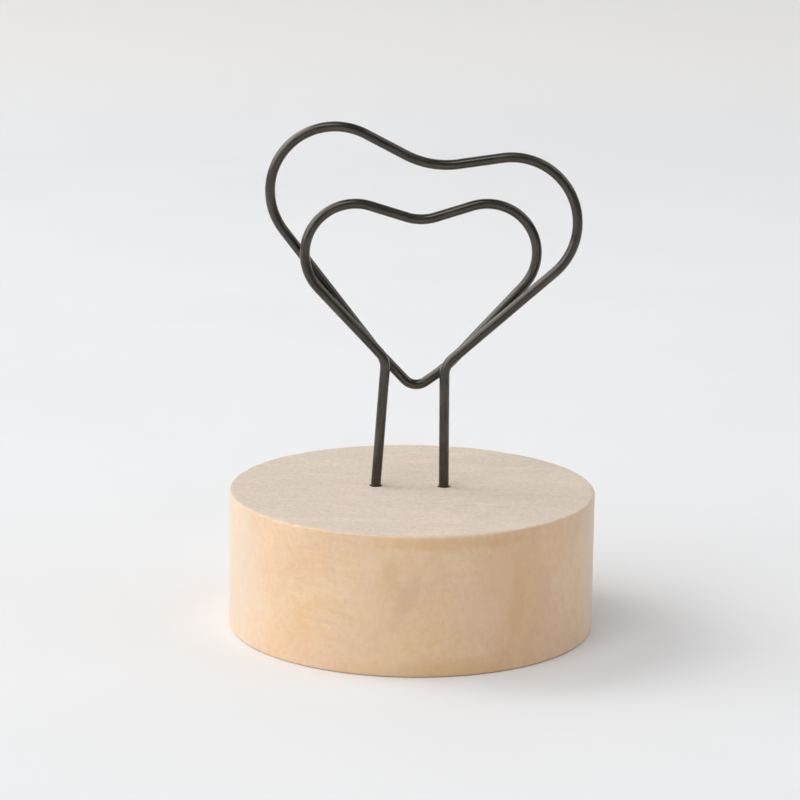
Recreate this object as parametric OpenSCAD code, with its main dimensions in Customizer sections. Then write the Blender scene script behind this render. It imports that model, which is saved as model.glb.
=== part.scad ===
// Wooden photo block holder: a round block of wood that carries one bent wire clip.
// The wire leaves the block as a leg, runs round a small heart, turns at the tip, runs
// round a larger heart and comes back down as the second leg. A photo stands between
// its strands. Lengths are in millimetres and angles in degrees. The origin is the
// middle of the block's underside, +Z is up and the hearts face -Y.

/* [Block] */
// Diameter of the block
block_d = 45; // [36:0.5:80]
// Height of the block
block_h = 17.2; // [13:0.1:40]
// Radius sanded onto the block's top edge
rim_r = 0.4; // [0.2:0.1:2]
// Radius of the block's bottom edge
foot_r = 0.3; // [0.1:0.1:2]

/* [Wire] */
// Diameter of the wire
wire_d = 1.25; // [0.8:0.05:1.8]
// Clear gap where one strand passes behind another
strand_gap = 0.55; // [0.45:0.05:1.5]

/* [Legs] */
// Distance between the two legs where they enter the block
leg_pitch = 8.4; // [7:0.1:10]
// Sideways place of the clip on the block, to the middle of its legs
clip_shift = -0.3; // [-6:0.1:6]
// Place of the clip on the block, from its middle towards the back
clip_set_back = 1; // [-6:0.1:6]
// Length of each leg inside the block
leg_depth = 10; // [6:0.5:11]
// Lean of the left leg above the block, towards the right
left_lean = 3.8; // [-1:0.1:5]
// Lean of the right leg above the block, towards the right
right_lean = -0.5; // [-3:0.1:3]
// Radius of the bends that turn the legs into the hearts
leg_bend_r = 2.7; // [1.5:0.1:4]
// Height of the left leg's bend above the tip
left_bend_rise = 2.5; // [1.5:0.1:4]
// Height of the right leg's bend above the tip
right_bend_rise = 1.6; // [0.8:0.1:3]
// Chamfer on the cut end of each leg
end_chamfer = 0.2; // [0.05:0.05:0.35]

/* [Holes] */
// Clearance all round a leg in its hole
hole_clear = 0.05; // [0.02:0.01:0.1]
// Gap left under each leg in its hole
hole_end_gap = 0.3; // [0.1:0.1:1]
// Width that the drill frayed off all round the mouth of each hole
mouth_fray = 0.16; // [0.05:0.01:0.4]
// Depth of the frayed mouth
mouth_depth = 0.25; // [0.1:0.05:1]
// Full angle of the drill's point, left at the bottom of each hole
drill_point = 118; // [90:1:150]

/* [Tip] */
// Height above the block of the tip that both hearts share, to the middle of the wire
stem_h = 12.45; // [9:0.05:25]
// Sideways place of the tip, from the middle of the legs
tip_shift = 0.6; // [-0.7:0.1:1.7]
// Radius of the tip
tip_r = 1.9; // [1.5:0.05:2.4]
// Radius of the faint bows where the tip's strands pass behind the legs
bow_r = 16; // [5:0.5:18]
// Height above the tip of the bow behind the left leg
left_bow_rise = 4.15; // [3.6:0.05:4.6]
// Height above the tip of the bow behind the right leg
right_bow_rise = 2.15; // [1.7:0.05:2.6]

/* [Small heart] */
// Sideways place of the small heart's middle, from the middle of the legs
small_shift = 1; // [-0.7:0.05:2.3]
// Height of the small heart's lobes above the tip, to their middles
small_rise = 16.5; // [14:0.1:20]
// Distance between the middles of the small heart's lobes
small_pitch = 15.9; // [14:0.1:18]
// Radius of the small heart's lobes
small_lobe_r = 6.15; // [5.2:0.05:7]
// Depth of the small heart's dip below its lobes
small_dip = 1.9; // [1:0.1:2.6]
// Radius of the small heart's dip
small_dip_r = 6; // [3:0.1:9]
// Tilt of the small heart, right lobe up
small_tilt = 0.4; // [-5:0.1:5]

/* [Large heart] */
// Sideways place of the large heart's middle, from the middle of the legs
large_shift = 1.25; // [0.3:0.05:2.3]
// Height of the large heart's lobes above the small heart's, to their middles
large_lift = 5.7; // [4.8:0.1:9]
// Distance between the middles of the large heart's lobes
large_pitch = 21.6; // [20:0.1:25]
// Radius of the large heart's lobes
large_lobe_r = 8; // [7:0.1:9]
// Depth of the large heart's dip below its lobes
large_dip = 2.55; // [1.5:0.05:3.2]
// Radius of the large heart's dip
large_dip_r = 10.6; // [6:0.1:13]
// Tilt of the large heart, right lobe up
large_tilt = -9; // [-13:0.5:-5]

/* [Hidden] */
$fn = 64;

// Side that the wire turns to at a peg, seen from the front and followed in the wire's order
LEFT = 1;
RIGHT = -1;
// Depth at which a peg holds the wire: in the plane of the legs, one strand behind it, or between
FRONT = 0;
MIDWAY = 0.5;
BACK = 1;

// The wire is drawn thinner where it is bent, by this much all round, and each run of full
// thickness laps over the ends of the bends beside it
bend_thinning = 0.02;
bend_lap = 0.06;
// Half the height of the thin neck at the mouth of its hole, where a leg starts to lean
neck_h = 0.05;

strand_step = wire_d + strand_gap;
left_leg_x = clip_shift - leg_pitch / 2;
right_leg_x = clip_shift + leg_pitch / 2;
small_h = stem_h + small_rise;
large_h = small_h + large_lift;
hole_r = wire_d / 2 + hole_clear;
hole_depth = leg_depth + hole_end_gap;

// The wire is drawn as it is made, pulled tight round the pegs of a bending jig. A peg is
// [x, height above the block, peg radius, side, bend radius, depth]. A guide has no radius
// of its own: the wire passes through its point and is bent there to the radius given.
function peg(x, h, r, side, depth) = [x, h, r, side, r, depth];
function guide(x, h, bend_r, depth) = [x, h, 0, RIGHT, bend_r, depth];

// The peg inside the top bend of a leg, set so that the wire meets it at the leg's lean
function leg_peg(x, lean, h, inside) =
    peg(x + tan(lean) * h + inside * leg_bend_r / cos(lean), h, leg_bend_r, LEFT, FRONT);

// The pegs of a heart: its left lobe, its dip and its right lobe, turned by its tilt
function heart_pegs(shift, h, pitch, lobe_r, dip, dip_r, tilt, depths) = [
    for (p = [
        peg(-pitch / 2, 0, lobe_r, RIGHT, depths[0]),
        peg(0, lobe_r - dip + dip_r, dip_r, LEFT, depths[1]),
        peg(pitch / 2, 0, lobe_r, RIGHT, depths[2])
    ])
    peg(clip_shift + shift + p[0] * cos(tilt) - p[1] * sin(tilt),
        h + p[0] * sin(tilt) + p[1] * cos(tilt), p[2], p[3], p[5])
];

jig = concat(
    [guide(left_leg_x, -leg_depth, 0, FRONT)],
    [guide(left_leg_x, 0, 0, FRONT)],
    [leg_peg(left_leg_x, left_lean, stem_h + left_bend_rise, -1)],
    heart_pegs(small_shift, small_h, small_pitch, small_lobe_r, small_dip, small_dip_r,
        small_tilt, [FRONT, MIDWAY, BACK]),
    [guide(right_leg_x, stem_h + right_bow_rise, bow_r, BACK)],
    [peg(clip_shift + tip_shift, stem_h + tip_r, tip_r, RIGHT, BACK)],
    [guide(left_leg_x, stem_h + left_bow_rise, bow_r, BACK)],
    heart_pegs(large_shift, large_h, large_pitch, large_lobe_r, large_dip, large_dip_r,
        large_tilt, [BACK, MIDWAY, FRONT]),
    [leg_peg(right_leg_x, right_lean, stem_h + right_bend_rise, 1)],
    [guide(right_leg_x, 0, 0, FRONT)],
    [guide(right_leg_x, -leg_depth, 0, FRONT)]
);
last = len(jig) - 1;

function unit(v) = v / norm(v);
function leftward(a) = [-sin(a), cos(a)];
function wrap(a) = a - 360 * round(a / 360);

// Heading of the straight run from one peg to the next, measured from +X towards +Z
function heading_between(a, b) =
    let (reach = [b[0] - a[0], b[1] - a[1]])
    atan2(reach.y, reach.x) - asin((b[3] * b[2] - a[3] * a[2]) / norm(reach));
headings = [for (i = [0 : last - 1]) heading_between(jig[i], jig[i + 1])];

// Corner at which the runs before and after a peg would meet if the bend were sharp
function flat_corner(i) =
    let (p = jig[i], middle = [p[0], p[1]])
    p[2] == 0 ? middle :
    let (half_turn = wrap(headings[i] - headings[i - 1]) / 2)
    middle - p[3] * p[2] / cos(half_turn) * leftward(headings[i - 1] + half_turn);
corners = [
    for (i = [0 : last])
    let (c = flat_corner(i))
    [c.x, clip_set_back + jig[i][5] * strand_step, block_h + c.y]
];

// Run i goes from corner i to corner i + 1, and bend i rounds corner i
directions = [for (i = [0 : last - 1]) unit(corners[i + 1] - corners[i])];
function turn(i) = acos(min(1, directions[i - 1] * directions[i]));
function setback(i) = i == 0 || i == last ? 0 : jig[i][4] * tan(turn(i) / 2);
function run_start(i) = corners[i] + directions[i] * setback(i);
function run_end(i) = corners[i + 1] - directions[i] * setback(i + 1);

// Direction from the start of a bend towards the middle of its circle
function inward(i) =
    let (before = directions[i - 1], after = directions[i])
    unit(after - (before * after) * before);
function bend_middle(i) = run_end(i - 1) + inward(i) * jig[i][4];

// Stands the children on a point, with their X and Z axes along two directions square to each other
module stand(x_dir, z_dir, point) {
    y_dir = cross(z_dir, x_dir);
    multmatrix([
        [x_dir.x, y_dir.x, z_dir.x, point.x],
        [x_dir.y, y_dir.y, z_dir.y, point.y],
        [x_dir.z, y_dir.z, z_dir.z, point.z]
    ])
        children();
}

// A bend is a sector of a ring round its peg
module bend(i) {
    stand(-inward(i), cross(directions[i - 1], inward(i)), bend_middle(i))
        rotate_extrude(angle = turn(i))
            translate([jig[i][4], 0])
                circle(d = wire_d - 2 * bend_thinning);
}

// Length by which the runs beside bend i lap over it
function lap(i) = min(bend_lap, jig[i][4] * turn(i) * PI / 540);

// A run is the straight wire between two bends
module run(i) {
    across = unit(cross(directions[i], [0, 1, 0]));
    stand(across, directions[i], run_start(i) - directions[i] * lap(i))
        cylinder(d = wire_d, h = norm(run_end(i) - run_start(i)) + lap(i) + lap(i + 1));
}

// A leg's straight length inside the block, from its chamfered end up into its first run
module leg_root(x) {
    leg_r = wire_d / 2;
    neck_r = leg_r - bend_thinning;
    translate([x, clip_set_back, block_h - leg_depth])
        rotate_extrude()
            polygon([
                [0, 0],
                [leg_r - end_chamfer, 0],
                [leg_r, end_chamfer],
                [leg_r, leg_depth - neck_h],
                [neck_r, leg_depth - neck_h],
                [neck_r, leg_depth + neck_h],
                [0, leg_depth + neck_h]
            ]);
}

// A drilled hole, down to the cone that the drill's point leaves and out to its frayed mouth
module hole(x) {
    point_h = hole_r / tan(drill_point / 2);
    translate([x, clip_set_back, block_h]) {
        translate([0, 0, -hole_depth])
            cylinder(r = hole_r, h = hole_depth + 1);
        translate([0, 0, -hole_depth - point_h])
            cylinder(r1 = 0, r2 = hole_r, h = point_h);
        translate([0, 0, -mouth_depth])
            cylinder(r1 = hole_r, r2 = hole_r + mouth_fray, h = mouth_depth);
    }
}

// Half the block's outline, rounded at its foot and at its rim
module block_profile() {
    square([block_d / 2 - foot_r, block_h / 2]);
    translate([0, block_h / 2])
        square([block_d / 2 - rim_r, block_h / 2]);
    translate([0, foot_r])
        square([block_d / 2, block_h - foot_r - rim_r]);
    translate([block_d / 2 - foot_r, foot_r])
        circle(r = foot_r);
    translate([block_d / 2 - rim_r, block_h - rim_r])
        circle(r = rim_r);
}

module wood_block() {
    color("burlywood")
        difference() {
            rotate_extrude($fn = 180)
                block_profile();
            hole(left_leg_x);
            hole(right_leg_x);
        }
}

module wire_clip() {
    color("#3d362f")
        union() {
            leg_root(left_leg_x);
            leg_root(right_leg_x);
            for (i = [1 : last - 2])
                run(i);
            for (i = [2 : last - 2])
                bend(i);
        }
}

// Clear gap between the wire's strands, measured on points along the middles of both hearts
function bend_points(i) = [
    for (a = [0 : turn(i) / 8 : turn(i)])
    bend_middle(i) + jig[i][4] * (sin(a) * directions[i - 1] - cos(a) * inward(i))
];
function run_points(i) = [
    for (share = [0 : 1 / 16 : 1])
    run_start(i) + share * (run_end(i) - run_start(i))
];
small_turn = [for (i = [2 : 6]) each concat(bend_points(i), run_points(i))];
large_turn = [for (i = [8 : 12]) each concat(run_points(i - 1), bend_points(i))];
strand_distances = [for (a = small_turn) min([for (b = large_turn) norm(a - b)])];
echo(least_gap_between_strands = min(strand_distances) - wire_d);

wood_block();
wire_clip();
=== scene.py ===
"""A wooden photo block with its bent wire clip, dressed for a product picture.

The block is a short length of turned pale wood. Its side is smooth, and its two ends are
sawn across, matte and greyer. One bronzed wire stands in two drilled holes and makes two
hearts, a small one in front and a larger one behind, which hold a photo between them.
Sizes in the classes are in millimetres and meshes are in metres, in the frame of the part.
"""
import logging
import math
from dataclasses import dataclass
from enum import Enum
from typing import Callable, Sequence

import bmesh
import bpy
from mathutils import Matrix, Vector, noise


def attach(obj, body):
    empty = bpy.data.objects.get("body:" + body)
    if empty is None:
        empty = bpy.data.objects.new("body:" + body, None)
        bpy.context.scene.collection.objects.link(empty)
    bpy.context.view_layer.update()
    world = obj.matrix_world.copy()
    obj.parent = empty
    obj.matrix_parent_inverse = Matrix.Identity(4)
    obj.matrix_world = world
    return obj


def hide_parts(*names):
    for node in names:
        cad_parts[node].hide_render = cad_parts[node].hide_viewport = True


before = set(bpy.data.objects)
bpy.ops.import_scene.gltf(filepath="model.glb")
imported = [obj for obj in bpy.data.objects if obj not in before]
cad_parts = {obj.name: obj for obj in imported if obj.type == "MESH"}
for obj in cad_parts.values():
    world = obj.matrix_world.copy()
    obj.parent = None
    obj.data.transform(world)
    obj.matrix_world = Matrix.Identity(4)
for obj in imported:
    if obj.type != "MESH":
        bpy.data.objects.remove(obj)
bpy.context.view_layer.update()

MM = 0.001
PICTURE_PX = 800
SEED_STEP = (17.3, -5.1, 9.7)
LOG = logging.getLogger("photo_block")

Colour = tuple[float, float, float]
Triple = tuple[float, float, float]
Socket = bpy.types.NodeSocket


# Materials

class Bench:
    """Lays out and joins the nodes of one node tree."""

    def __init__(self, tree: bpy.types.NodeTree) -> None:
        """Starts on an empty tree."""
        self.tree = tree
        tree.nodes.clear()

    def add(self, kind: str, inputs: dict | None = None, **settings) -> bpy.types.Node:
        """Adds a node.

        Args:
            kind: Name of the node's type, without the word ShaderNode.
            inputs: Values or sockets for its inputs, by name or number.
            settings: Values for the node's own settings.

        Returns:
            The new node.
        """
        node = self.tree.nodes.new("ShaderNode" + kind)
        node.location = (len(self.tree.nodes) * 60, 0)
        for name, value in settings.items():
            setattr(node, name, value)
        for name, value in (inputs or {}).items():
            self.feed(node.inputs[name], value)
        return node

    def feed(self, target: Socket, value: object) -> None:
        """Sets an input to a value, or links it to a socket.

        Args:
            target: The input.
            value: A number, vector, colour or socket.
        """
        if isinstance(value, bpy.types.NodeSocket):
            self.tree.links.new(value, target)
        elif isinstance(value, tuple) and len(value) == 3 and target.type == "RGBA":
            target.default_value = (*value, 1.0)
        else:
            target.default_value = value

    def maths(self, operation: str, a: object, b: object = 0.0, clamp: bool = False) -> Socket:
        """Returns the result of a sum on two numbers or sockets."""
        return self.add("Math", {0: a, 1: b}, operation=operation, use_clamp=clamp).outputs[0]

    def scaled(self, vector: Socket, scale: object) -> Socket:
        """Returns a vector scaled by another, axis by axis."""
        return self.add("VectorMath", {0: vector, 1: scale}, operation="MULTIPLY").outputs[0]

    def spread(self, value: object, low: object, high: object,
               new_low: float = 0.0, new_high: float = 1.0) -> Socket:
        """Returns a value moved softly from one range to another.

        Args:
            value: The socket to read.
            low: Value that gives new_low.
            high: Value that gives new_high.
            new_low: Lowest value put out.
            new_high: Highest value put out.

        Returns:
            The output socket.
        """
        return self.add("MapRange", {"Value": value, "From Min": low, "From Max": high,
                                     "To Min": new_low, "To Max": new_high},
                        interpolation_type="SMOOTHSTEP").outputs["Result"]

    def cloud(self, vector: Socket, size: object, detail: float = 3.0,
              roughness: float = 0.5) -> Socket:
        """Returns soft noise.

        Args:
            vector: Where it is read.
            size: Number of patches to a unit of the vector.
            detail: Octaves of finer noise.
            roughness: Weight of the finer noise.

        Returns:
            A socket between 0 and 1, around 0.5.
        """
        return self.add("TexNoise", {"Vector": vector, "Scale": size, "Detail": detail,
                                     "Roughness": roughness}).outputs["Fac"]

    def mixed(self, factor: object, a: object, b: object, blend: str = "MIX") -> Socket:
        """Returns one colour laid over another.

        Args:
            factor: Strength of the second colour.
            a: The first colour.
            b: The second colour.
            blend: How the second is laid on.

        Returns:
            The colour socket.
        """
        node = self.add("Mix", data_type="RGBA", blend_type=blend)
        self.feed(node.inputs["Factor"], factor)
        self.feed(node.inputs["A"], a)
        self.feed(node.inputs["B"], b)
        return node.outputs["Result"]


class Effect:
    """A shader node group that several finishes place with values of their own."""

    def __init__(self, name: str, inputs: Sequence[tuple[str, str, object]],
                 outputs: Sequence[tuple[str, str]],
                 draw: Callable[[Bench, bpy.types.Node], dict[str, Socket]]) -> None:
        """Builds the group once.

        Args:
            name: Name of the group.
            inputs: Name, kind and usual value of each input.
            outputs: Name and kind of each output.
            draw: Lays out the nodes and returns the socket for each output.
        """
        self.tree = bpy.data.node_groups.new(name, "ShaderNodeTree")
        face = self.tree.interface
        for label, kind, value in inputs:
            socket = face.new_socket(label, in_out="INPUT", socket_type="NodeSocket" + kind)
            socket.default_value = value
        for label, kind in outputs:
            face.new_socket(label, in_out="OUTPUT", socket_type="NodeSocket" + kind)
        bench = Bench(self.tree)
        start = self.tree.nodes.new("NodeGroupInput")
        finish = self.tree.nodes.new("NodeGroupOutput")
        for label, socket in draw(bench, start).items():
            self.tree.links.new(socket, finish.inputs[label])

    def place(self, bench: Bench, **inputs: object) -> bpy.types.Node:
        """Places the group in a material.

        Args:
            bench: The material's bench.
            inputs: Values or sockets by input name, with _ for a space.

        Returns:
            The group node.
        """
        node = bench.tree.nodes.new("ShaderNodeGroup")
        node.node_tree = self.tree
        for name, value in inputs.items():
            bench.feed(node.inputs[name.replace("_", " ")], value)
        return node


def draw_patches(bench: Bench, start: bpy.types.Node) -> dict[str, Socket]:
    """Lays out soft patches of one colour on another.

    Args:
        bench: The group's bench.
        start: The group's input node.

    Returns:
        The sockets of the outputs.
    """
    given = start.outputs
    at = bench.scaled(given["Vector"], given["Stretch"])
    cloud = bench.cloud(at, 1.0, 4.0, 0.55)
    low = bench.maths("SUBTRACT", 0.5, given["Softness"])
    high = bench.maths("ADD", 0.5, given["Softness"])
    mask = bench.spread(cloud, low, high)
    strength = bench.maths("MULTIPLY", mask, given["Strength"])
    return {"Mask": mask, "Colour": bench.mixed(strength, given["Ground"], given["Patch"])}


def draw_flecks(bench: Bench, start: bpy.types.Node) -> dict[str, Socket]:
    """Lays out small separate flecks.

    Args:
        bench: The group's bench.
        start: The group's input node.

    Returns:
        The sockets of the outputs.
    """
    given = start.outputs
    at = bench.scaled(given["Vector"], given["Stretch"])
    cells = bench.add("TexVoronoi", {"Vector": at, "Scale": 1.0, "Randomness": 1.0})
    dot = bench.spread(cells.outputs["Distance"], 0.45, 0.12)
    pick = bench.add("SeparateColor", {0: cells.outputs["Color"]}).outputs[0]
    chosen = bench.maths("LESS_THAN", pick, given["Share"])
    return {"Mask": bench.maths("MULTIPLY", dot, chosen)}


def draw_mark(bench: Bench, start: bpy.types.Node) -> dict[str, Socket]:
    """Lays out one soft mark at a chosen place, with an uneven edge.

    Args:
        bench: The group's bench.
        start: The group's input node.

    Returns:
        The sockets of the outputs.
    """
    given = start.outputs
    turned = bench.add("VectorRotate", {"Vector": given["Vector"], "Center": given["Centre"],
                                        "Axis": given["Axis"], "Angle": given["Turn"]},
                       rotation_type="AXIS_ANGLE").outputs[0]
    moved = bench.add("VectorMath", {0: turned, 1: given["Centre"]}, operation="SUBTRACT")
    sized = bench.add("VectorMath", {0: moved.outputs[0], 1: given["Reach"]}, operation="DIVIDE")
    away = bench.add("VectorMath", {0: sized.outputs[0]}, operation="LENGTH").outputs["Value"]
    torn = bench.maths("SUBTRACT", bench.cloud(given["Vector"], 0.6, 4.0, 0.6), 0.5)
    ragged = bench.maths("ADD", away, bench.maths("MULTIPLY", torn, given["Ragged"]))
    return {"Mask": bench.maths("MULTIPLY", bench.spread(ragged, 1.05, 0.35),
                                given["Strength"])}


class Effects:
    """The effects that the finishes share."""

    def __init__(self) -> None:
        """Builds each effect's node group."""
        self.patches = Effect(
            "Soft patches",
            [("Vector", "Vector", (0, 0, 0)), ("Stretch", "Vector", (1, 1, 1)),
             ("Ground", "Color", (1, 1, 1, 1)), ("Patch", "Color", (0, 0, 0, 1)),
             ("Softness", "Float", 0.15), ("Strength", "Float", 1.0)],
            [("Mask", "Float"), ("Colour", "Color")], draw_patches)
        self.flecks = Effect(
            "Fine flecks",
            [("Vector", "Vector", (0, 0, 0)), ("Stretch", "Vector", (1, 1, 1)),
             ("Share", "Float", 0.3)],
            [("Mask", "Float")], draw_flecks)
        self.mark = Effect(
            "Placed mark",
            [("Vector", "Vector", (0, 0, 0)), ("Centre", "Vector", (0, 0, 0)),
             ("Reach", "Vector", (1, 1, 1)), ("Axis", "Vector", (0, 0, 1)),
             ("Turn", "Float", 0.0), ("Ragged", "Float", 1.0), ("Strength", "Float", 1.0)],
            [("Mask", "Float")], draw_mark)


def new_material(name: str) -> tuple[bpy.types.Material, Bench, bpy.types.Node]:
    """Starts a material.

    Args:
        name: Name of the material.

    Returns:
        The material, its bench and its Principled shader, joined to the output.
    """
    material = bpy.data.materials.new(name)
    material.use_nodes = True
    bench = Bench(material.node_tree)
    shader = bench.add("BsdfPrincipled")
    output = bench.add("OutputMaterial")
    bench.tree.links.new(shader.outputs["BSDF"], output.inputs["Surface"])
    return material, bench, shader


def millimetres(bench: Bench) -> Socket:
    """Returns the place on the object, in millimetres."""
    place = bench.add("TexCoord").outputs["Object"]
    return bench.scaled(place, (1 / MM, 1 / MM, 1 / MM))


def raised(bench: Bench, shader: bpy.types.Node, height: Socket, depth_mm: float) -> None:
    """Gives a shader a fine relief.

    Args:
        bench: The material's bench.
        shader: The shader.
        height: Height between 0 and 1.
        depth_mm: Depth that 1 stands for.
    """
    bump = bench.add("Bump", {"Height": height, "Strength": 1.0, "Distance": depth_mm * MM})
    bench.feed(shader.inputs["Normal"], bump.outputs["Normal"])


def varied(bench: Bench, value: Socket, middle: float, change: tuple[float, float],
           reads: tuple[float, float] = (0.3, 0.7)) -> Socket:
    """Moves a number round its middle value, softly.

    Args:
        bench: The material's bench.
        value: What it varies with.
        middle: The middle value.
        change: Change at the low and at the high end.
        reads: The value's low and high end.

    Returns:
        The varied number.
    """
    return bench.spread(value, *reads, middle + change[0], middle + change[1])


@dataclass(frozen=True)
class Patches:
    """Soft patches of one colour, with their number to a millimetre along each axis."""

    colour: Colour
    per_mm: Triple
    softness: float
    strength: float

    def over(self, bench: Bench, effects: Effects, at: Socket,
             ground: Colour | Socket) -> bpy.types.Node:
        """Lays the patches over a colour.

        Args:
            bench: The material's bench.
            effects: The shared effects.
            at: Place on the surface, in millimetres.
            ground: The colour below.

        Returns:
            The placed effect, which puts out a colour and the patches' mask.
        """
        return effects.patches.place(
            bench, Vector=at, Stretch=self.per_mm, Ground=ground, Patch=self.colour,
            Softness=self.softness, Strength=self.strength)


@dataclass(frozen=True)
class Flecks:
    """Small separate flecks of one colour, in a share of the cells they could fill."""

    colour: Colour
    per_mm: Triple
    share: float
    strength: float

    def over(self, bench: Bench, effects: Effects, at: Socket,
             ground: Socket) -> tuple[Socket, Socket]:
        """Lays the flecks over a colour.

        Args:
            bench: The material's bench.
            effects: The shared effects.
            at: Place on the surface, in millimetres.
            ground: The colour below.

        Returns:
            The colour with its flecks, and the flecks' mask.
        """
        mask = effects.flecks.place(bench, Vector=at, Stretch=self.per_mm,
                                    Share=self.share).outputs["Mask"]
        return bench.mixed(bench.maths("MULTIPLY", mask, self.strength), ground,
                           self.colour), mask


@dataclass(frozen=True)
class Mark:
    """One soft mark over the wood's colour, used for its own marks and for painted sheen: its
    middle and half sizes in millimetres, and its lean.
    """

    centre: Triple
    reach: Triple
    colour: Colour
    strength: float
    axis: Triple = (0, 1, 0)
    lean_degrees: float = 0.0
    ragged: float = 1.2

    def mask(self, bench: Bench, effects: Effects, at: Socket) -> Socket:
        """Places the mark.

        Args:
            bench: The material's bench.
            effects: The shared effects.
            at: Place on the surface, in millimetres.

        Returns:
            The mark's mask, from 0 up to its strength.
        """
        return effects.mark.place(
            bench, Vector=at, Centre=self.centre, Reach=self.reach, Axis=self.axis,
            Turn=math.radians(self.lean_degrees), Ragged=self.ragged,
            Strength=self.strength).outputs["Mask"]

    def over(self, bench: Bench, effects: Effects, at: Socket, ground: Socket) -> Socket:
        """Returns a colour with the mark laid over it."""
        return bench.mixed(self.mask(bench, effects, at), ground, self.colour)


@dataclass(frozen=True)
class TurnedSide:
    """The block's smooth side: warm pale wood, softly clouded, with a few marks of its own,
    darker bands near the foot, and painted sheen at both sides.
    """

    pale: Colour = (0.85, 0.615, 0.40)
    honey: Patches = Patches((0.81, 0.53, 0.285), (0.17, 0.17, 0.12), 0.2, 0.7)
    rosy: Patches = Patches((0.76, 0.53, 0.37), (0.11, -0.11, 0.16), 0.16, 0.6)
    amber: Patches = Patches((0.76, 0.47, 0.23), (0.62, 0.62, 0.75), 0.2, 0.26)
    cream: Patches = Patches((0.92, 0.72, 0.52), (-1.5, 1.5, 1.15), 0.12, 0.2)
    specks: Flecks = Flecks((0.60, 0.42, 0.28), (1.3, 1.3, 1.9), 0.12, 0.16)
    roughness: float = 0.5
    roughness_range: tuple[float, float] = (-0.05, 0.07)
    sheen: float = 0.16
    relief_mm: float = 0.010
    marks: tuple[Mark, ...] = (
        # Painted sheen: the next two marks make the side paler and greyer over its left part and
        # along its right edge.
        Mark((-22.0, -8.0, 9.0), (6.5, 16.0, 15.0), (0.735, 0.61, 0.49), 0.6),
        Mark((22.3, -4.0, 9.0), (3.2, 12.0, 15.0), (0.80, 0.66, 0.55), 0.5),
        Mark((13.0, -18.4, 9.0), (6.5, 9.0, 13.0), (0.75, 0.44, 0.25), 0.36),
        Mark((-0.7, -22.5, 9.0), (1.5, 9.0, 4.4), (0.64, 0.43, 0.28), 0.36, lean_degrees=-26.0),
        Mark((-2.4, -22.4, 12.4), (1.4, 9.0, 3.6), (0.72, 0.45, 0.22), 0.38),
        Mark((12.6, -18.6, 8.6), (1.3, 6.0, 6.5), (0.72, 0.45, 0.22), 0.38, lean_degrees=-5.0),
        Mark((7.0, -21.4, 7.5), (4.2, 9.0, 3.4), (0.84, 0.60, 0.44), 0.3),
        Mark((-11.4, -19.4, 13.0), (2.8, 8.0, 2.2), (0.80, 0.51, 0.25), 0.34),
        Mark((-9.6, -20.3, 8.2), (2.4, 8.0, 1.6), (0.80, 0.52, 0.27), 0.34),
        Mark((-12.0, -19.0, 4.4), (3.4, 9.0, 1.4), (0.80, 0.53, 0.28), 0.38, lean_degrees=-12.0),
        Mark((-5.5, -21.8, 13.6), (2.6, 9.0, 1.6), (0.90, 0.68, 0.48), 0.3),
        Mark((6.0, -21.7, 16.1), (12.0, 9.0, 1.0), (0.72, 0.42, 0.17), 0.45, ragged=1.8),
        # Darker, warmer bands low on the front, near the foot.
        Mark((6.0, -21.7, 1.0), (9.0, 9.0, 1.9), (0.74, 0.44, 0.18), 0.42),
        Mark((2.0, -22.4, 0.2), (17.0, 9.0, 2.4), (0.70, 0.45, 0.24), 0.3, ragged=1.0))
    curl_per_mm: Triple = (0.5, 0.5, 1.9)
    curl_everywhere: float = 0.05
    crest_strength: float = 0.2
    dent_strength: float = 0.3
    curl_region: Mark = Mark((-10.5, -20.0, 9.5), (7.0, 12.0, 10.0), (1.0, 1.0, 1.0), 1.0,
                             ragged=1.0)
    fibre_per_mm: Triple = (1.5, 1.5, 0.5)

    def build(self, effects: Effects) -> bpy.types.Material:
        """Builds the material.

        Args:
            effects: The shared effects.

        Returns:
            The material.
        """
        material, bench, shader = new_material("turned side")
        at = millimetres(bench)
        colour = self.pale
        for cloud in (self.honey, self.rosy, self.amber, self.cream):
            colour = cloud.over(bench, effects, at, colour).outputs["Colour"]
        for mark in self.marks:
            colour = mark.over(bench, effects, at, colour)
        curl = bench.cloud(bench.scaled(at, self.curl_per_mm), 1.0, 3.0, 0.5)
        curled = self._curled(bench, self.curl_region.mask(bench, effects, at), curl, colour)
        bench.feed(shader.inputs["Base Color"], self.specks.over(bench, effects, at, curled)[0])
        fibre = bench.cloud(bench.scaled(at, self.fibre_per_mm), 1.0, 4.0, 0.55)
        bench.feed(shader.inputs["Roughness"], varied(bench, fibre, self.roughness,
                                                      self.roughness_range))
        shader.inputs["Sheen Weight"].default_value = self.sheen
        raised(bench, shader, bench.maths("ADD", curl, bench.maths("MULTIPLY", fibre, 0.5)),
               self.relief_mm)
        return material

    def _curled(self, bench: Bench, region: Socket, curl: Socket, ground: Socket) -> Socket:
        """Lays short wavy light and dark marks over a colour, mostly in one region.

        Args:
            bench: The material's bench.
            region: Mask of the region.
            curl: The waves, around 0.5.
            ground: The colour below.

        Returns:
            The colour with its waves.
        """
        def strength(most: float) -> Socket:
            """Returns how strong the waves are, by place."""
            return bench.maths("ADD", bench.maths("MULTIPLY", region, most),
                               self.curl_everywhere)

        crest = bench.maths("MULTIPLY", bench.spread(curl, 0.54, 0.68),
                            strength(self.crest_strength))
        dent = bench.maths("MULTIPLY", bench.spread(curl, 0.46, 0.34),
                           strength(self.dent_strength))
        return bench.mixed(dent, bench.mixed(crest, ground, self.cream.colour),
                           self.amber.colour)


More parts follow.
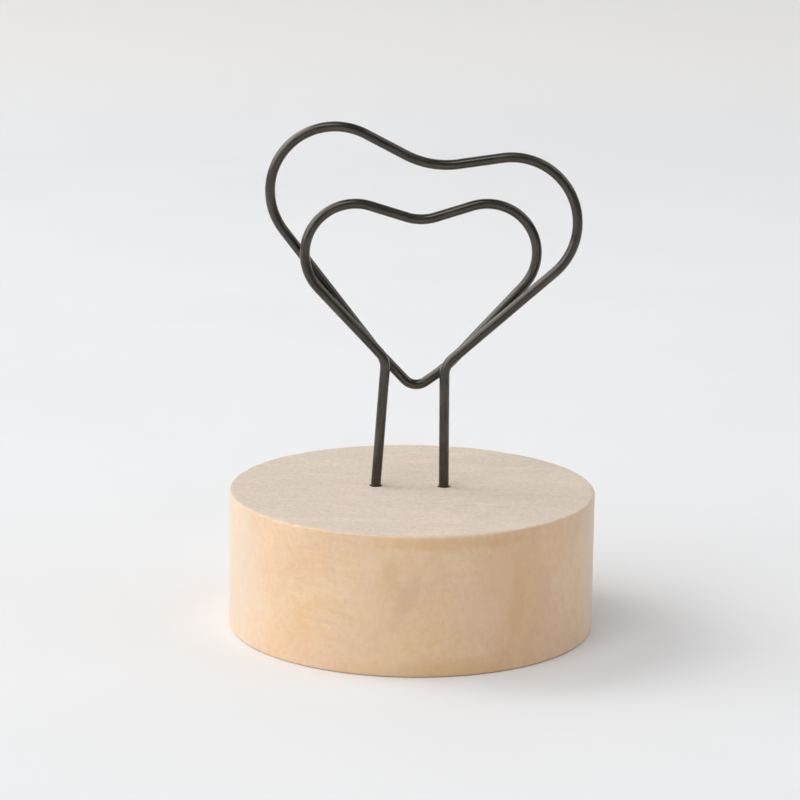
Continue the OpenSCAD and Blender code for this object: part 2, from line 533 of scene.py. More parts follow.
@dataclass(frozen=True)
class SawnEnd:
    """The block's sawn ends: matte, greyish wood with fine pores and faint scratches."""

    ground: Colour = (0.70, 0.60, 0.50)
    warm: Patches = Patches((0.76, 0.64, 0.52), (0.09, 0.12, 0.1), 0.2, 0.8)
    cool: Patches = Patches((0.64, 0.56, 0.48), (0.16, 0.5, 0.5), 0.2, 0.4)
    pores: Flecks = Flecks((0.46, 0.38, 0.30), (1.9, 1.5, 2.4), 0.22, 0.26)
    chips: Flecks = Flecks((0.86, 0.77, 0.66), (2.3, -1.7, 2.4), 0.2, 0.3)
    roughness: float = 0.85
    roughness_range: tuple[float, float] = (-0.05, 0.08)
    relief_mm: float = 0.05
    marks: tuple[Mark, ...] = (
        Mark((5.0, -5.6, 17.2), (0.35, 2.4, 4.0), (0.84, 0.74, 0.63), 0.6, (0, 0, 1), 58.0),
        Mark((6.6, -8.0, 17.2), (0.3, 2.2, 4.0), (0.50, 0.41, 0.32), 0.45, (0, 0, 1), 74.0),
        Mark((9.0, -7.4, 17.2), (0.35, 2.6, 4.0), (0.84, 0.74, 0.63), 0.55, (0, 0, 1), 100.0),
        Mark((11.0, -8.6, 17.2), (0.3, 1.8, 4.0), (0.52, 0.42, 0.33), 0.4, (0, 0, 1), 118.0),
        Mark((12.0, 10.5, 17.2), (8.0, 0.9, 4.0), (0.80, 0.70, 0.58), 0.4, (0, 0, 1), 0.0),
        Mark((-9.0, -15.5, 17.2), (8.0, 1.6, 4.0), (0.78, 0.68, 0.57), 0.35, (0, 0, 1), 4.0))
    fine_per_mm: Triple = (1.6, 1.7, 2.4)
    fine_strength: float = 0.22

    def build(self, effects: Effects) -> bpy.types.Material:
        """Builds the material.

        Args:
            effects: The shared effects.

        Returns:
            The material.
        """
        material, bench, shader = new_material("sawn end")
        at = millimetres(bench)
        colour = self.ground
        for cloud in (self.warm, self.cool):
            colour = cloud.over(bench, effects, at, colour).outputs["Colour"]
        for mark in self.marks:
            colour = mark.over(bench, effects, at, colour)
        fine = bench.cloud(bench.scaled(at, self.fine_per_mm), 1.0, 4.0, 0.7)
        mottled = bench.mixed(bench.spread(fine, 0.35, 0.75, 0.0, self.fine_strength), colour,
                              self.pores.colour, "MULTIPLY")
        flecked, pores = self.pores.over(bench, effects, at, mottled)
        chipped, _ = self.chips.over(bench, effects, at, flecked)
        bench.feed(shader.inputs["Base Color"], chipped)
        bench.feed(shader.inputs["Roughness"], varied(bench, fine, self.roughness,
                                                      self.roughness_range))
        raised(bench, shader, bench.maths("SUBTRACT", fine, bench.maths("MULTIPLY", pores, 0.5)),
               self.relief_mm)
        return material


@dataclass(frozen=True)
class DrilledWall:
    """The wall of a drilled hole: torn, browner wood, with near-black patches of painted shade
    down the hole.
    """

    ground: Colour = (0.42, 0.31, 0.20)
    painted_shade: Patches = Patches((0.16, 0.10, 0.06), (2.5, 2.5, 4.0), 0.1, 0.8)
    roughness: float = 0.9
    relief_mm: float = 0.04

    def build(self, effects: Effects) -> bpy.types.Material:
        """Builds the material.

        Args:
            effects: The shared effects.

        Returns:
            The material.
        """
        material, bench, shader = new_material("drilled wall")
        # Near-black patches of painted shade down the hole; the same mask raises the torn relief.
        torn = self.painted_shade.over(bench, effects, millimetres(bench), self.ground)
        bench.feed(shader.inputs["Base Color"], torn.outputs["Colour"])
        shader.inputs["Roughness"].default_value = self.roughness
        raised(bench, shader, torn.outputs["Mask"], self.relief_mm)
        return material


@dataclass(frozen=True)
class BronzedWire:
    """The wire's finish: dark bronze under lacquer, rubbed lighter outside its bends."""

    dark: Colour = (0.026, 0.021, 0.016)
    patina: Patches = Patches((0.068, 0.056, 0.041), (0.9, 0.9, 0.35), 0.16, 0.8)
    specks: Flecks = Flecks((0.050, 0.052, 0.032), (3.5, 3.5, 1.6), 0.22, 0.5)
    bare: Colour = (0.16, 0.135, 0.10)
    bare_strength: float = 0.7
    drawn_per_mm: Triple = (6.0, 6.0, 0.25)
    roughness: float = 0.3
    roughness_range: tuple[float, float] = (-0.06, 0.1)
    polish: float = 0.08
    metallic: float = 1.0
    lacquer: float = 0.8
    lacquer_roughness: float = 0.16
    relief_mm: float = 0.012

    def build(self, effects: Effects) -> bpy.types.Material:
        """Builds the material.

        Args:
            effects: The shared effects.

        Returns:
            The material.
        """
        material, bench, shader = new_material("bronzed wire")
        lay = bench.add("Attribute", attribute_name="lay").outputs["Vector"]
        rub = bench.add("Attribute", attribute_name="rub").outputs["Fac"]
        patina = self.patina.over(bench, effects, lay, self.dark)
        speckled, specks = self.specks.over(bench, effects, lay, patina.outputs["Colour"])
        drawn = bench.cloud(bench.scaled(lay, self.drawn_per_mm), 1.0, 4.0, 0.6)
        worn = bench.maths("MULTIPLY", rub, bench.spread(drawn, 0.35, 0.65))
        bench.feed(shader.inputs["Base Color"],
                   bench.mixed(bench.maths("MULTIPLY", worn, self.bare_strength), speckled,
                               self.bare))
        shader.inputs["Metallic"].default_value = self.metallic
        shader.inputs["Coat Weight"].default_value = self.lacquer
        shader.inputs["Coat Roughness"].default_value = self.lacquer_roughness
        rough = varied(bench, patina.outputs["Mask"], self.roughness, self.roughness_range,
                       (0.0, 1.0))
        bench.feed(shader.inputs["Roughness"],
                   bench.maths("SUBTRACT", rough, bench.maths("MULTIPLY", worn, self.polish)))
        raised(bench, shader, bench.maths("ADD", drawn, bench.maths("MULTIPLY", specks, 0.6)),
               self.relief_mm)
        return material


@dataclass(frozen=True)
class PaperSweep:
    """The pale paper that the block stands on, and the slightly warmer wall behind it."""

    colour: Colour = (0.824, 0.830, 0.840)
    shaded: float = 0.988
    grain_per_mm: float = 0.02
    wall: Colour = (0.85, 0.842, 0.828)
    wall_mm: tuple[float, float] = (2.0, 22.0)
    roughness: float = 0.9
    specular: float = 0.2

    def build(self) -> bpy.types.Material:
        """Builds the material.

        Returns:
            The material.
        """
        material, bench, shader = new_material("paper sweep")
        at = millimetres(bench)
        grain = bench.spread(bench.cloud(at, self.grain_per_mm, 2.0), 0.4, 0.6)
        floor = bench.mixed(grain, self.colour, tuple(self.shaded * c for c in self.colour))
        height = bench.add("SeparateXYZ", {0: at}).outputs["Z"]
        bench.feed(shader.inputs["Base Color"],
                   bench.mixed(bench.spread(height, *self.wall_mm), floor, self.wall))
        shader.inputs["Roughness"].default_value = self.roughness
        shader.inputs["Specular IOR Level"].default_value = self.specular
        return material


# Meshes

def make_object(name: str, mesh: bpy.types.Mesh) -> bpy.types.Object:
    """Makes an object that shows a mesh.

    Args:
        name: Name of the object.
        mesh: Its mesh.

    Returns:
        The object, in the scene.
    """
    piece = bpy.data.objects.new(name, mesh)
    bpy.context.scene.collection.objects.link(piece)
    return piece


def smooth(mesh: bpy.types.Mesh, crease_degrees: float) -> None:
    """Shades a mesh smooth, with sharp edges above an angle."""
    mesh.shade_smooth()
    mesh.set_sharp_from_angle(angle=math.radians(crease_degrees))


@dataclass(frozen=True)
class Waves:
    """Smooth noise round a circle, finer on a larger circle, with a seed for its pattern."""

    size: float
    seed: float

    def at(self, angle: float, level: float = 0.0) -> float:
        """Reads the noise.

        Args:
            angle: Angle round the circle, in radians.
            level: Height above the circle.

        Returns:
            A number between about -1 and 1.
        """
        place = (self.size * math.cos(angle), self.size * math.sin(angle), level)
        return noise.noise(Vector(tuple(p + self.seed * s for p, s in zip(place, SEED_STEP))))


def lathe(rings: Sequence[Sequence[Triple]]) -> bmesh.types.BMesh:
    """Skins closed rings of equal count, first to last, and closes both ends.

    Args:
        rings: Points of each ring, in millimetres.

    Returns:
        The mesh, in metres.
    """
    made = bmesh.new()
    rows = [[made.verts.new(Vector(p) * MM) for p in ring] for ring in rings]
    count = len(rings[0])
    for low, high in zip(rows, rows[1:]):
        for i in range(count):
            j = (i + 1) % count
            made.faces.new((low[i], low[j], high[j], high[i]))
    made.faces.new(list(reversed(rows[0])))
    made.faces.new(rows[-1])
    return made


def finished(made: bmesh.types.BMesh, name: str) -> bpy.types.Mesh:
    """Turns a mesh under work into a finished one.

    Args:
        made: The mesh under work, which is freed.
        name: Name of the finished mesh.

    Returns:
        The finished mesh.
    """
    mesh = bpy.data.meshes.new(name)
    made.to_mesh(mesh)
    made.free()
    return mesh


class Grain(Enum):
    """The block's surfaces, by the number of their material."""

    SIDE = 0
    END = 1
    HOLE = 2


@dataclass(frozen=True)
class MouthRing:
    """A ring of a hole's mouth, with its widening and tearing as shares of the fray."""

    widening: float
    rise: float
    torn: float


@dataclass
class Hole:
    """A blind drilled hole in the block's top, with a frayed mouth."""

    x: float
    y: float
    seed: float
    radius: float = 0.675
    depth: float = 10.3
    point_degrees: float = 118.0
    tip_radius: float = 0.02
    tip_share: float = 0.97
    wall_rows: int = 4
    fray: float = 0.16
    mouth: tuple[MouthRing, ...] = (
        MouthRing(0.35, -0.1, 0.4), MouthRing(0.8, 0.0, 1.0), MouthRing(1.1, 0.5, 1.0))
    mouth_depth: float = 0.25
    facets: int = 48

    def cutter(self, top: float) -> bpy.types.Mesh:
        """Builds the shape that the drill takes out.

        Args:
            top: Height of the block's top.

        Returns:
            The closed mesh.
        """
        point = self.radius / math.tan(math.radians(self.point_degrees / 2))
        floor = top - self.depth
        rings = [self._ring(self.tip_radius, floor - point * self.tip_share, 0.0)]
        for row in range(self.wall_rows + 1):
            level = floor + row / self.wall_rows * (self.depth - self.mouth_depth)
            rings.append(self._ring(self.radius, level, 0.0))
        for ring in self.mouth:
            rings.append(self._ring(self.radius + self.fray * ring.widening, top + ring.rise,
                                    ring.torn))
        return finished(lathe(rings), "drill")

    def _ring(self, radius: float, level: float, torn: float) -> list[Triple]:
        """Lays out one ring of the hole.

        Args:
            radius: Its even radius.
            level: Its height.
            torn: How much of the fray tears it unevenly.

        Returns:
            The ring's points.
        """
        points = []
        coarse, fine = Waves(3.0, self.seed), Waves(9.0, self.seed)
        for i in range(self.facets):
            angle = 2 * math.pi * i / self.facets
            ragged = 0.35 * coarse.at(angle) + 0.25 * fine.at(angle)
            reach = radius + torn * self.fray * ragged
            points.append((self.x + reach * math.cos(angle), self.y + reach * math.sin(angle),
                           level))
        return points


@dataclass
class Nick:
    """A small chip out of the block's top edge."""

    degrees: float
    width_degrees: float
    depth: float

    def bite(self, degrees: float) -> float:
        """Returns how deep the chip is at an angle round the block."""
        away = abs((degrees - self.degrees + 180) % 360 - 180) / self.width_degrees
        return self.depth * max(0.0, 1 - away * away)


@dataclass
class WoodBlock:
    """The turned block with its two drilled holes."""

    diameter: float = 45.0
    height: float = 17.2
    edge: float = 0.3
    edge_change: float = 0.12
    edge_steps: int = 7
    slow_waves: Waves = Waves(2.2, 3.0)
    quick_waves: Waves = Waves(14.0, 4.0)
    foot_edge: float = 0.34
    foot_steps: int = 6
    hollow: float = 0.02
    hollow_reach: float = 1.5
    hollow_length: float = 9.0
    hollow_waves: Waves = Waves(1.4, 5.0)
    foot_rings: tuple[float, ...] = (0.4, 6.0, 12.0, 18.0)
    top_rings: tuple[float, ...] = (21.0, 19.0, 16.0, 12.0, 8.0, 4.0, 0.4)
    segments: int = 540
    side_rows: int = 26
    crease_degrees: float = 40.0
    nicks: tuple[Nick, ...] = (
        Nick(224.0, 3.0, 0.5), Nick(231.5, 1.6, 0.36), Nick(216.0, 2.0, 0.32),
        Nick(205.0, 1.6, 0.2), Nick(247.0, 1.4, 0.12), Nick(262.0, 2.2, 0.14),
        Nick(286.0, 1.2, 0.12), Nick(301.0, 2.6, 0.16), Nick(322.0, 1.5, 0.14),
        Nick(338.0, 2.0, 0.2), Nick(12.0, 1.8, 0.16), Nick(57.0, 2.5, 0.2),
        Nick(98.0, 1.7, 0.14), Nick(131.0, 2.4, 0.22), Nick(160.0, 1.5, 0.16))
    holes: tuple[Hole, ...] = (Hole(-4.5, 1.0, 1.0), Hole(3.9, 1.0, 2.0))

    def build(self, effects: Effects) -> bpy.types.Object:
        """Builds the block.

        Args:
            effects: The shared effects.

        Returns:
            The finished piece, on its body.
        """
        block = make_object("turned_block", self._turned())
        for hole in self.holes:
            self._drill(block, hole)
        self._dress(block, effects)
        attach(block, "block")
        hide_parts("wood_block")
        LOG.info("turned_block: %d faces", len(block.data.polygons))
        return block

    def _edge_at(self, degrees: float) -> tuple[float, float]:
        """Measures the sanded and chipped top edge.

        Args:
            degrees: Angle round the block.

        Returns:
            How far the edge reaches inwards, and down.
        """
        a = math.radians(degrees)
        slow, quick = self.slow_waves.at(a), self.quick_waves.at(a)
        bite = max(nick.bite(degrees) for nick in self.nicks)
        inward = self.edge + self.edge_change * (slow + 0.45 * quick) + bite
        return inward, inward * (0.85 + 0.2 * slow) - 0.35 * bite

    def _column(self, degrees: float) -> list[Triple]:
        """Lays out the outline at one angle.

        Args:
            degrees: Angle round the block.

        Returns:
            Points from the underside's middle to the top's.
        """
        a = math.radians(degrees)
        full = self.diameter / 2
        inward, down = self._edge_at(degrees)
        outline = [(r, 0.0) for r in self.foot_rings]
        for step in range(self.foot_steps + 1):
            bend = math.pi / 2 * step / self.foot_steps
            outline.append((full - self.foot_edge * (1 - math.sin(bend)),
                            self.foot_edge * (1 - math.cos(bend))))
        low, high = self.foot_edge, self.height - down
        for row in range(1, self.side_rows):
            level = low + (high - low) * row / self.side_rows
            depth = self.hollow * (1 + self.hollow_waves.at(a, level / self.hollow_length))
            fade = min(1.0, (high - level) / self.hollow_reach, (level - low) / self.hollow_reach)
            outline.append((full - depth * fade, level))
        for step in range(self.edge_steps + 1):
            bend = math.pi / 2 * step / self.edge_steps
            outline.append((full - inward * (1 - math.cos(bend)), high + down * math.sin(bend)))
        outline += [(r, self.height) for r in self.top_rings]
        return [(r * math.cos(a), r * math.sin(a), z) for r, z in outline]

    def _turned(self) -> bpy.types.Mesh:
        """Skins the block before it is drilled.

        Returns:
            The closed mesh.
        """
        columns = [self._column(360 * i / self.segments) for i in range(self.segments)]
        made = lathe(list(zip(*columns)))
        bmesh.ops.recalc_face_normals(made, faces=made.faces)
        return finished(made, "turned_block")

    def _drill(self, block: bpy.types.Object, hole: Hole) -> None:
        """Takes a hole out of the block.

        Args:
            block: The block.
            hole: The hole.
        """
        drill = make_object("drill", hole.cutter(self.height))
        cut = block.modifiers.new("hole", "BOOLEAN")
        cut.operation, cut.solver, cut.object = "DIFFERENCE", "EXACT", drill
        graph = bpy.context.evaluated_depsgraph_get()
        drilled = bpy.data.meshes.new_from_object(block.evaluated_get(graph))
        block.modifiers.clear()
        block.data = drilled
        bpy.data.objects.remove(drill)

    def _grain_of(self, face: bpy.types.MeshPolygon) -> Grain:
        """Sorts a face by where it lies and how it faces.

        Args:
            face: A face of the drilled block.

        Returns:
            The surface that it belongs to.
        """
        x, y, z = (part / MM for part in face.center)
        inside = any(math.hypot(x - hole.x, y - hole.y) < hole.radius + hole.fray * 1.6
                     for hole in self.holes)
        if inside and 1.0 < z < self.height - 0.004:
            return Grain.HOLE
        return Grain.END if abs(face.normal.z) > 0.8 else Grain.SIDE

    def _dress(self, block: bpy.types.Object, effects: Effects) -> None:
        """Gives the block its finishes.

        Args:
            block: The drilled block.
            effects: The shared effects.
        """
        mesh = block.data
        mesh.materials.clear()
        for finish in (TurnedSide(), SawnEnd(), DrilledWall()):
            mesh.materials.append(finish.build(effects))
        for face in mesh.polygons:
            face.material_index = self._grain_of(face).value
        smooth(mesh, self.crease_degrees)


class Side(Enum):
    """Side that the wire turns to at a peg, seen from the front in the wire's order."""

    LEFT = 1
    RIGHT = -1


@dataclass(frozen=True)
class Peg:
    """A peg of the bending jig that the wire is pulled round, or a guide with no radius."""

    x: float
    rise: float
    radius: float
    side: Side
    bend: float
    depth: float

    @classmethod
    def guide(cls, x: float, rise: float, bend: float, depth: float) -> "Peg":
        """Returns a guide: the wire passes through its point and is bent there."""
        return cls(x, rise, 0.0, Side.RIGHT, bend, depth)


@dataclass
class Heart:
    """One of the wire's two hearts: two lobes and the dip between them."""

    shift: float
    rise: float
    pitch: float
    lobe: float
    dip: float
    dip_radius: float
    tilt: float
    depths: tuple[float, float, float]

    def pegs(self, tip_rise: float) -> list[Peg]:
        """Lays out the heart's pegs.

        Args:
            tip_rise: Height of the hearts' tip above the block.

        Returns:
            Its three pegs, left lobe first.
        """
        rise = tip_rise + self.rise
        c, s = math.cos(math.radians(self.tilt)), math.sin(math.radians(self.tilt))
        places = ((-self.pitch / 2, 0.0, self.lobe, Side.RIGHT),
                  (0.0, self.lobe - self.dip + self.dip_radius, self.dip_radius, Side.LEFT),
                  (self.pitch / 2, 0.0, self.lobe, Side.RIGHT))
        return [Peg(self.shift + x * c - z * s, rise + x * s + z * c, r, side, r, depth)
                for (x, z, r, side), depth in zip(places, self.depths)]


@dataclass
class Stop:
    """A station along the wire's middle line."""

    point: Vector
    heading: Vector
    along: float
    outward: Vector
    sharpness: float


@dataclass
class WireClip:
    """The bent wire: one length, from the left leg through both hearts to the right leg."""

    wire: float = 1.25
    gap: float = 0.55
    block_top: float = 17.2
    set_back: float = 1.0
    left_x: float = -4.5
    right_x: float = 3.9
    leg_depth: float = 10.0
    left_lean: float = 3.8
    right_lean: float = -0.5
    leg_bend: float = 2.7
    left_bend_rise: float = 2.5
    right_bend_rise: float = 1.6
    mouth_bend: float = 15.0
    tip_x: float = 0.3
    tip_rise: float = 12.45
    tip_radius: float = 1.9
    bow: float = 16.0
    left_bow_rise: float = 4.15
    right_bow_rise: float = 2.15
    hearts: tuple[Heart, Heart] = (
        Heart(shift=0.7, rise=16.5, pitch=15.9, lobe=6.15, dip=1.9, dip_radius=6.0, tilt=0.4,
              depths=(0.0, 0.5, 1.0)),
        Heart(shift=0.95, rise=22.2, pitch=21.6, lobe=8.0, dip=2.55, dip_radius=10.6, tilt=-9.0,
              depths=(1.0, 0.5, 0.0)))
    chamfer: float = 0.2
    worn_flat: float = 0.02
    worn_bend: float = 2.2
    unevenness: float = 0.006
    uneven_length: float = 2.5
    uneven_waves: Waves = Waves(2.0, 6.0)
    least_rub: float = 0.25
    facets: int = 24
    step: float = 0.35
    least_bend: float = 2.5
    crease_degrees: float = 35.0

    def build(self, effects: Effects) -> bpy.types.Object:
        """Builds the clip.

        Args:
            effects: The shared effects.

        Returns:
            The finished piece, on its body.
        """
        clip = make_object("bent_wire", self._swept(self._stations()))
        clip.data.materials.append(BronzedWire().build(effects))
        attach(clip, "clip")
        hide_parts("wire_clip")
        LOG.info("bent_wire: %d faces", len(clip.data.polygons))
        return clip

    def _leg_peg(self, x: float, lean: float, rise: float, inside: int) -> Peg:
        """Sets the peg inside a leg's top bend, so that the leg keeps its lean.

        Args:
            x: Where the leg leaves the block.
            lean: The leg's lean to the right, in degrees.
            rise: Height of the peg above the block.
            inside: 1 for a peg to the leg's right, or -1 for one to its left.

        Returns:
            The peg.
        """
        angle = math.radians(lean)
        centre = x + math.tan(angle) * rise + inside * self.leg_bend / math.cos(angle)
        return Peg(centre, rise, self.leg_bend, Side.LEFT, self.leg_bend, 0.0)

    def _jig(self) -> list[Peg]:
        """Lays out the jig.

        Returns:
            Its pegs, in the wire's order.
        """
        small, large = (heart.pegs(self.tip_rise) for heart in self.hearts)
        tip = Peg(self.tip_x, self.tip_rise + self.tip_radius, self.tip_radius, Side.RIGHT,
                  self.tip_radius, 1.0)
        return [
            Peg.guide(self.left_x, -self.leg_depth, 0.0, 0.0),
            Peg.guide(self.left_x, 0.0, self.mouth_bend, 0.0),
            self._leg_peg(self.left_x, self.left_lean, self.tip_rise + self.left_bend_rise, -1),
            *small,
            Peg.guide(self.right_x, self.tip_rise + self.right_bow_rise, self.bow, 1.0),
            tip,
            Peg.guide(self.left_x, self.tip_rise + self.left_bow_rise, self.bow, 1.0),
            *large,
            self._leg_peg(self.right_x, self.right_lean, self.tip_rise + self.right_bend_rise, 1),
            Peg.guide(self.right_x, 0.0, self.mouth_bend, 0.0),
            Peg.guide(self.right_x, -self.leg_depth, 0.0, 0.0),
        ]

    @staticmethod
    def _heading(a: Peg, b: Peg) -> float:
        """Finds the straight run between two pegs, as a tangent of both.

        Args:
            a: The first peg.
            b: The second peg.

        Returns:
            The run's direction, in radians.
        """
        dx, dz = b.x - a.x, b.rise - a.rise
        across = b.side.value * b.radius - a.side.value * a.radius
        return math.atan2(dz, dx) - math.asin(across / math.hypot(dx, dz))

    def _corners(self) -> tuple[list[Vector], list[float]]:
        """Finds the corners that the bends round off.

        Returns:
            The corners, and the bends' radii.
        """
        jig = self._jig()
        headings = [self._heading(a, b) for a, b in zip(jig, jig[1:])]
        corners = []
        for i, peg in enumerate(jig):
            x, z = peg.x, peg.rise
            if peg.radius:
                turn = math.remainder(headings[i] - headings[i - 1], 2 * math.pi) / 2
                reach = peg.side.value * peg.radius / math.cos(turn)
                aim = headings[i - 1] + turn
                x, z = x + reach * math.sin(aim), z - reach * math.cos(aim)
            y = self.set_back + peg.depth * (self.wire + self.gap)
            corners.append(Vector((x, y, self.block_top + z)))
        return corners, [peg.bend for peg in jig]

    def _stations(self) -> list[Stop]:
        """Walks along the whole wire.

        Returns:
            Its stations, close together in the bends.
        """
        corners, bends = self._corners()
        ways = [(b - a).normalized() for a, b in zip(corners, corners[1:])]
        stops = [Stop(corners[0].copy(), ways[0].copy(), 0.0, Vector((0, 1, 0)), 0.0)]
        for corner, bend, before, after in zip(corners[1:], bends[1:], ways, ways[1:]):
            self._bend(stops, corner, bend, before, after)
        self._run(stops, corners[-1], ways[-1])
        return stops

    def _bend(self, stops: list[Stop], corner: Vector, bend: float, before: Vector,
              after: Vector) -> None:
        """Adds the stations of a bend and of the straight run that leads to it.

        Args:
            stops: The stations so far, which it adds to.
            corner: The corner that the bend rounds off.
            bend: The bend's radius.
            before: Direction before the corner.
            after: Direction after the corner.
        """
        turn = math.acos(min(1.0, before.dot(after)))
        inward = (after - before.dot(after) * before).normalized()
        start = corner - before * (bend * math.tan(turn / 2))
        self._run(stops, start, before)
        middle = start + inward * bend
        count = max(2, math.ceil(turn * max(bend, self.least_bend) / self.step))
        for k in range(1, count + 1):
            a = turn * k / count
            point = middle + bend * (math.sin(a) * before - math.cos(a) * inward)
            heading = math.cos(a) * before + math.sin(a) * inward
            along = stops[-1].along + bend * turn / count
            sharpness = min(1.0, self.worn_bend / bend) * math.sin(math.pi * k / count)
            stops.append(Stop(point, heading, along, (point - middle).normalized(), sharpness))

    def _run(self, stops: list[Stop], end: Vector, heading: Vector) -> None:
        """Adds the stations of a straight run.

        Args:
            stops: The stations so far, which it adds to.
            end: Where the run ends.
            heading: The run's direction.
        """
        start, begun = stops[-1].point, stops[-1].along
        length = (end - start).length
        count = max(1, math.ceil(length / (2 * self.step)))
        for k in range(1, count + 1):
            share = k / count
            stops.append(Stop(start.lerp(end, share), heading.copy(), begun + share * length,
                              Vector((0, 0, 1)), 0.0))

    def _swept(self, stops: list[Stop]) -> bpy.types.Mesh:
        """Sweeps the wire's round section along its stations.

        Args:
            stops: The stations.

        Returns:
            The mesh, with the straightened wire's place and the wear at each point.
        """
        rings, lays, rubs = [], [], []
        side = Vector((0, -1, 0))
        for stop in stops:
            side = (side - side.dot(stop.heading) * stop.heading).normalized()
            up = stop.heading.cross(side)
            ends = min(stop.along, stops[-1].along - stop.along)
            radius = self.wire / 2 - max(0.0, self.chamfer - ends)
            ring = []
            for k in range(self.facets):
                a = 2 * math.pi * k / self.facets
                out = math.cos(a) * side + math.sin(a) * up
                worn = stop.sharpness * max(0.0, out.dot(stop.outward))
                ring.append(tuple(stop.point + out * radius * self._unworn(stop, a, out)))
                lays.append((math.cos(a), math.sin(a), stop.along))
                rubs.append(self.least_rub + (1 - self.least_rub) * worn)
            rings.append(ring)
        made = lathe(rings)
        bmesh.ops.recalc_face_normals(made, faces=made.faces)
        mesh = finished(made, "bent_wire")
        lay = mesh.attributes.new("lay", "FLOAT_VECTOR", "POINT")
        lay.data.foreach_set("vector", [part for place in lays for part in place])
        rub = mesh.attributes.new("rub", "FLOAT", "POINT")
        rub.data.foreach_set("value", rubs)
        smooth(mesh, self.crease_degrees)
        return mesh

    def _unworn(self, stop: Stop, angle: float, out: Vector) -> float:
        """Works out how much of the radius wear and drawing have left.

        Args:
            stop: The station.
            angle: Angle round the wire, in radians.
            out: Direction from the wire's middle line.

        Returns:
            The radius that is left, as a share of the full one.
        """
        flat = self.worn_flat * stop.sharpness * max(0.0, out.dot(stop.outward)) ** 4
        uneven = 1 + self.uneven_waves.at(angle, stop.along / self.uneven_length)
        return 1 - flat - self.unevenness * uneven


# Studio

@dataclass
class Sweep:
    """The floor and the wall behind it, in one curved sheet."""

    half_width: float = 1600.0
    front: float = -900.0
    bend_start: float = 395.0
    bend_radius: float = 60.0
    bend_steps: int = 24
    top: float = 650.0

    def build(self) -> bpy.types.Object:
        """Builds the sheet.

        Returns:
            The sheet.
        """
        made = bmesh.new()
        outline = [(self.front, 0.0), (self.bend_start, 0.0)]
        for step in range(1, self.bend_steps + 1):
            a = math.pi / 2 * step / self.bend_steps
            outline.append((self.bend_start + self.bend_radius * math.sin(a),
                            self.bend_radius * (1 - math.cos(a))))
        outline.append((self.bend_start + self.bend_radius, self.top))
        rows = [[made.verts.new(Vector((side * self.half_width, y, z)) * MM) for side in (-1, 1)]
                for y, z in outline]
        for low, high in zip(rows, rows[1:]):
            made.faces.new((low[0], low[1], high[1], high[0]))
        mesh = finished(made, "sweep")
        mesh.materials.append(PaperSweep().build())
        mesh.shade_smooth()
        sheet = make_object("sweep", mesh)
        LOG.info("sweep: floor and backdrop")
        return sheet


@dataclass
class Softbox:
    """A square lamp that faces a point."""

    name: str
    place: Triple
    size: float
    watts: float
    colour: Colour
    aim: Triple = (0, 0, 10)

    def build(self) -> bpy.types.Object:
        """Builds the lamp.

        Returns:
            The lamp, in the scene.
        """
        lamp = bpy.data.lights.new(self.name, "AREA")
        lamp.shape, lamp.size = "SQUARE", self.size * MM
        lamp.energy, lamp.color = self.watts, self.colour
        holder = bpy.data.objects.new(self.name, lamp)
        holder.location = Vector(self.place) * MM
        facing = Vector(self.aim) - Vector(self.place)
        holder.rotation_euler = facing.to_track_quat("-Z", "Y").to_euler()
        bpy.context.scene.collection.objects.link(holder)
        LOG.info("%s: %.2f W", self.name, self.watts)
        return holder


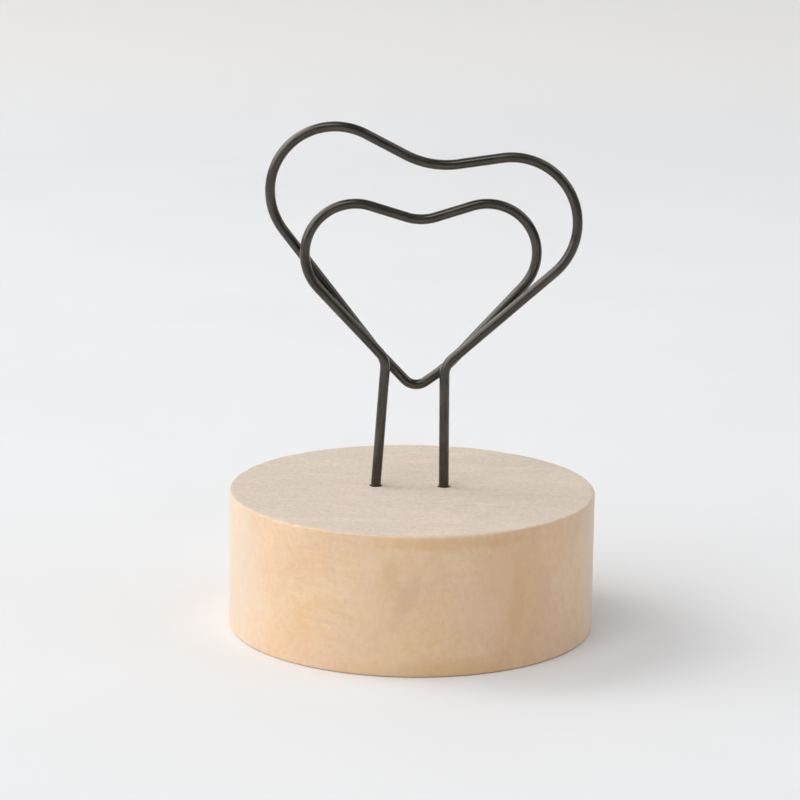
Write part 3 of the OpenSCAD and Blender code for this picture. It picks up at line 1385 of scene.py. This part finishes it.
@dataclass
class PictureCamera:
    """The camera of the product picture, looking a little down on the block."""

    distance: float = 378.33
    elevation: float = 14.567
    roll: float = 0.7656
    focal_px: float = 3068.28
    top_at_px: tuple[float, float] = (413.31, 487.72)
    target: Triple = (0.0, 0.0, 17.2)
    sensor_mm: float = 36.0
    shows_m: tuple[float, float] = (0.01, 20.0)

    def build(self) -> bpy.types.Object:
        """Builds the camera.

        Returns:
            The camera, made the scene's own.
        """
        data = bpy.data.cameras.new("picture")
        data.sensor_width = self.sensor_mm
        data.lens = self.sensor_mm * self.focal_px / PICTURE_PX
        data.clip_start, data.clip_end = self.shows_m
        camera = bpy.data.objects.new("picture", data)
        camera.matrix_world = self._matrix()
        bpy.context.scene.collection.objects.link(camera)
        bpy.context.scene.camera = camera
        LOG.info("picture: %.1f mm lens", data.lens)
        return camera

    def _matrix(self) -> Matrix:
        """Works out the camera's place and turn.

        Returns:
            The matrix that shows the block's top at its place in the picture.
        """
        rise = math.radians(self.elevation)
        back = Vector((0, -math.cos(rise), math.sin(rise)))
        forward, right = -back, Vector((1, 0, 0))
        up = right.cross(forward)
        middle = PICTURE_PX / 2
        pitch = math.atan((self.top_at_px[1] - middle) / self.focal_px)
        forward, up = (forward * math.cos(pitch) + up * math.sin(pitch),
                       up * math.cos(pitch) - forward * math.sin(pitch))
        yaw = math.atan((self.top_at_px[0] - middle) / self.focal_px * math.cos(pitch))
        forward, right = (forward * math.cos(yaw) - right * math.sin(yaw),
                          forward * math.sin(yaw) + right * math.cos(yaw))
        turn = math.radians(self.roll)
        right, up = (right * math.cos(turn) + up * math.sin(turn),
                     up * math.cos(turn) - right * math.sin(turn))
        place = (Vector(self.target) + back * self.distance) * MM
        matrix = Matrix((right, up, -forward)).transposed().to_4x4()
        matrix.translation = place
        return matrix


@dataclass
class Studio:
    """The plain room, its lamps and its camera."""

    lamps: tuple[Softbox, ...] = (
        Softbox("left window", (-1292, 346, 1204), 830, 6.5, (1.0, 0.99, 0.975)),
        Softbox("back window", (-1021, 638, 1338), 760, 5.4, (1.0, 0.99, 0.975)),
        Softbox("low window", (-1994, 0, 930), 1200, 9.0, (1.0, 0.99, 0.98)),
        Softbox("front window", (-1606, -1124, 999), 1600, 14.6, (1.0, 0.995, 0.99)),
        Softbox("high window", (-500, -866, 1732), 900, 6.2, (1.0, 0.985, 0.965)),
        Softbox("pale wall", (1556, 0, 1556), 1500, 8.6, (0.98, 0.99, 1.0)))
    sky: Colour = (0.95, 0.97, 1.0)
    sky_strength: float = 0.32

    def build(self) -> None:
        """Builds the sheet, lamps, sky light and camera."""
        Sweep().build()
        for lamp in self.lamps:
            lamp.build()
        world = bpy.data.worlds.new("room")
        bpy.context.scene.world = world
        world.use_nodes = True
        shade = world.node_tree.nodes["Background"]
        shade.inputs["Color"].default_value = (*self.sky, 1.0)
        shade.inputs["Strength"].default_value = self.sky_strength
        PictureCamera().build()
        bpy.context.scene.view_settings.view_transform = "Standard"


def main() -> None:
    """Builds the photo block, then the studio round it."""
    logging.basicConfig(level=logging.INFO, format="%(name)s %(message)s")
    effects = Effects()
    WoodBlock().build(effects)
    WireClip().build(effects)
    Studio().build()


if __name__ == "__main__":
    main()
